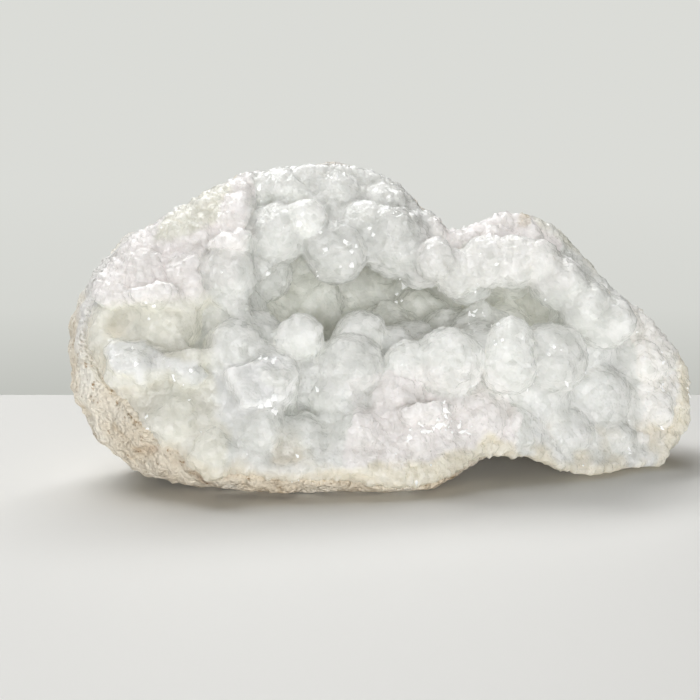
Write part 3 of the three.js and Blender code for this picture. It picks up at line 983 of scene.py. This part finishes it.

# %% [markdown]
# ## Bright faces
# Here and there the flat end of a clear crystal catches the light and flashes white. Each such flash is a
# painted highlight: a short cone with five sides, pressed into the crust, in the white finish that glows a
# little. Its place is given as seen from the front, and a ray finds how far back the crust lies there, so no
# depth has to be worked out by hand.

# %% Single clear faces that catch the light, as x and z on the break and a width, all in mm
BRIGHT_FACES = [
    (5, 53.8, 3.4), (3.5, 52, 2), (1.9, 50.5, 1.6), (0.4, 48.8, 1.5), (2.6, 48.6, 1.3), (27.7, 45.4, 1.6),
    (28.4, 41.9, 2.2), (26.8, 40.6, 1.4), (43.6, 39.2, 2.2), (45.5, 38.4, 1.5), (-22, 71.1, 1.8),
    (-20.5, 66.5, 2.6), (-15.3, 68.7, 2.4), (-13.8, 65.9, 1.8), (-12.1, 67.6, 1.5), (-13.2, 62.4, 2.2),
    (-16.5, 61.5, 1.8), (-8.5, 72.2, 1.5), (-7.3, 70.2, 2.2), (-37.3, 59.9, 1.8), (-28.5, 74, 2.4),
    (-37.5, 26.1, 2.2), (-35.4, 27.1, 3.2), (-33.9, 28.5, 2.8), (-34.3, 24.5, 2.6), (-68.5, 52.7, 2.2),
    (-66.8, 51.7, 2.4), (-68.7, 48, 1.8), (-70.4, 36.7, 1.8), (-55.7, 35, 2.2), (2.7, 16.6, 2),
]
FRONT = -0.1  # y in metres, from where the rays start
FACE_AXIS = Vector((0, -1, 0.3))  # towards the viewer and a little up


def bright_faces():
    """Short cones on the crust, at places that are found by looking at it from the front."""
    crust = bmesh.new()
    crust.from_mesh(crust_mass.data)
    surface = BVHTree.FromBMesh(crust)
    crust.free()
    bm = bmesh.new()
    for k, (x, z, width) in enumerate(BRIGHT_FACES):
        start = Vector((x * MM + PART_SHIFT[0], FRONT, z * MM))
        hit = surface.ray_cast(start, Vector((0, 1, 0)))[0]
        if hit is None:
            continue
        lean = Vector(chance_direction(np.array([[k, 0, 0]]), 71)[0])
        axis = (FACE_AXIS + 0.8 * lean).normalized()
        turn = axis.to_track_quat("Z", "Y").to_matrix().to_4x4()
        place = Matrix.Translation(hit - 0.1 * width * MM * axis) @ turn
        bmesh.ops.create_cone(
            bm, cap_ends=True, segments=5, radius1=0.5 * width * MM, radius2=0.15 * width * MM,
            depth=0.5 * width * MM, matrix=place,
        )
    faces = new_object("bright_faces", bm)
    faces.data.shade_flat()
    return faces


# The small crystals and the bright faces all take the painted glint finish: painted highlights.
join(clear_points, bright_faces())
wear(clear_points, PAINTED_GLINTS)

# %% [markdown]
# ## Floor and light
# The geode lies on a pale matt shelf. A wide window high behind it throws a short soft shadow towards the
# viewer, a soft ceiling light models the balls, and a low light beside the camera fills the hollow.

# %% The floor
FLOOR_BACK = 0.122  # where the shelf ends behind the geode

bm = bmesh.new()
bmesh.ops.create_grid(bm, x_segments=1, y_segments=1, size=0.9)
floor = new_object("floor", bm)
floor.data.transform(Matrix.Translation((0, FLOOR_BACK - 0.9, 0)))
floor_material, _, floor_shader, _ = finish("matt_shelf", 0.6, Specular_IOR_Level=0.3)
floor_shader.inputs["Base Color"].default_value = (0.79, 0.79, 0.77, 1)
floor.data.materials.append(floor_material)

# %% The lights
def area_light(name, place, target, size, power):
    """A rectangle of light, as wide and as high as given, aimed at a target."""
    light = bpy.data.objects.new(name, bpy.data.lights.new(name, "AREA"))
    light.data.shape = "RECTANGLE"
    light.data.size, light.data.size_y = size
    light.data.energy = power
    light.location = place
    light.rotation_euler = (Vector(target) - Vector(place)).to_track_quat("-Z", "Y").to_euler()
    light.visible_camera = False
    bpy.context.scene.collection.objects.link(light)


area_light("window", (-0.42, 0.70, 1.28), (0, 0, 0), (1.8, 0.3), 19)
area_light("ceiling", (-0.35, 0.0, 1.10), (0, 0, 0), (0.6, 0.6), 3.8)
area_light("room", (0.1, -1.05, 0.125), (0, 0, 0.04), (1.4, 0.24), 8.2)

# %% The room's own light, warmer than the wall that the camera sees
world = bpy.data.worlds.new("pale_room")
world.use_nodes = True
tree = world.node_tree
fill = tree.nodes["Background"]
fill.inputs["Color"].default_value = (0.76, 0.69, 0.57, 1)
fill.inputs["Strength"].default_value = 0.07
wall = node(tree, "ShaderNodeBackground")
direction = node(tree, "ShaderNodeTexCoord")
parts = node(tree, "ShaderNodeSeparateXYZ")
level = node(tree, "ShaderNodeMath", operation="MULTIPLY_ADD")
level.inputs[1].default_value = 2.0
level.inputs[2].default_value = 0.5
tree.links.new(direction.outputs["Generated"], parts.inputs["Vector"])
tree.links.new(parts.outputs["Z"], level.inputs[0])
# The wall that the camera sees darkens towards its foot: painted shade where the wall meets the shelf.
shades = colour_ramp(tree, level.outputs[0], [
    (0.15, (0.520, 0.530, 0.495)), (0.33, (0.668, 0.676, 0.641)), (0.55, (0.708, 0.715, 0.682)),
])
tree.links.new(shades, wall.inputs["Color"])
seen = node(tree, "ShaderNodeLightPath")
either = node(tree, "ShaderNodeMixShader")
tree.links.new(seen.outputs["Is Camera Ray"], either.inputs[0])
tree.links.new(fill.outputs["Background"], either.inputs[1])
tree.links.new(wall.outputs["Background"], either.inputs[2])
tree.links.new(either.outputs["Shader"], tree.nodes["World Output"].inputs["Surface"])
bpy.context.scene.world = world
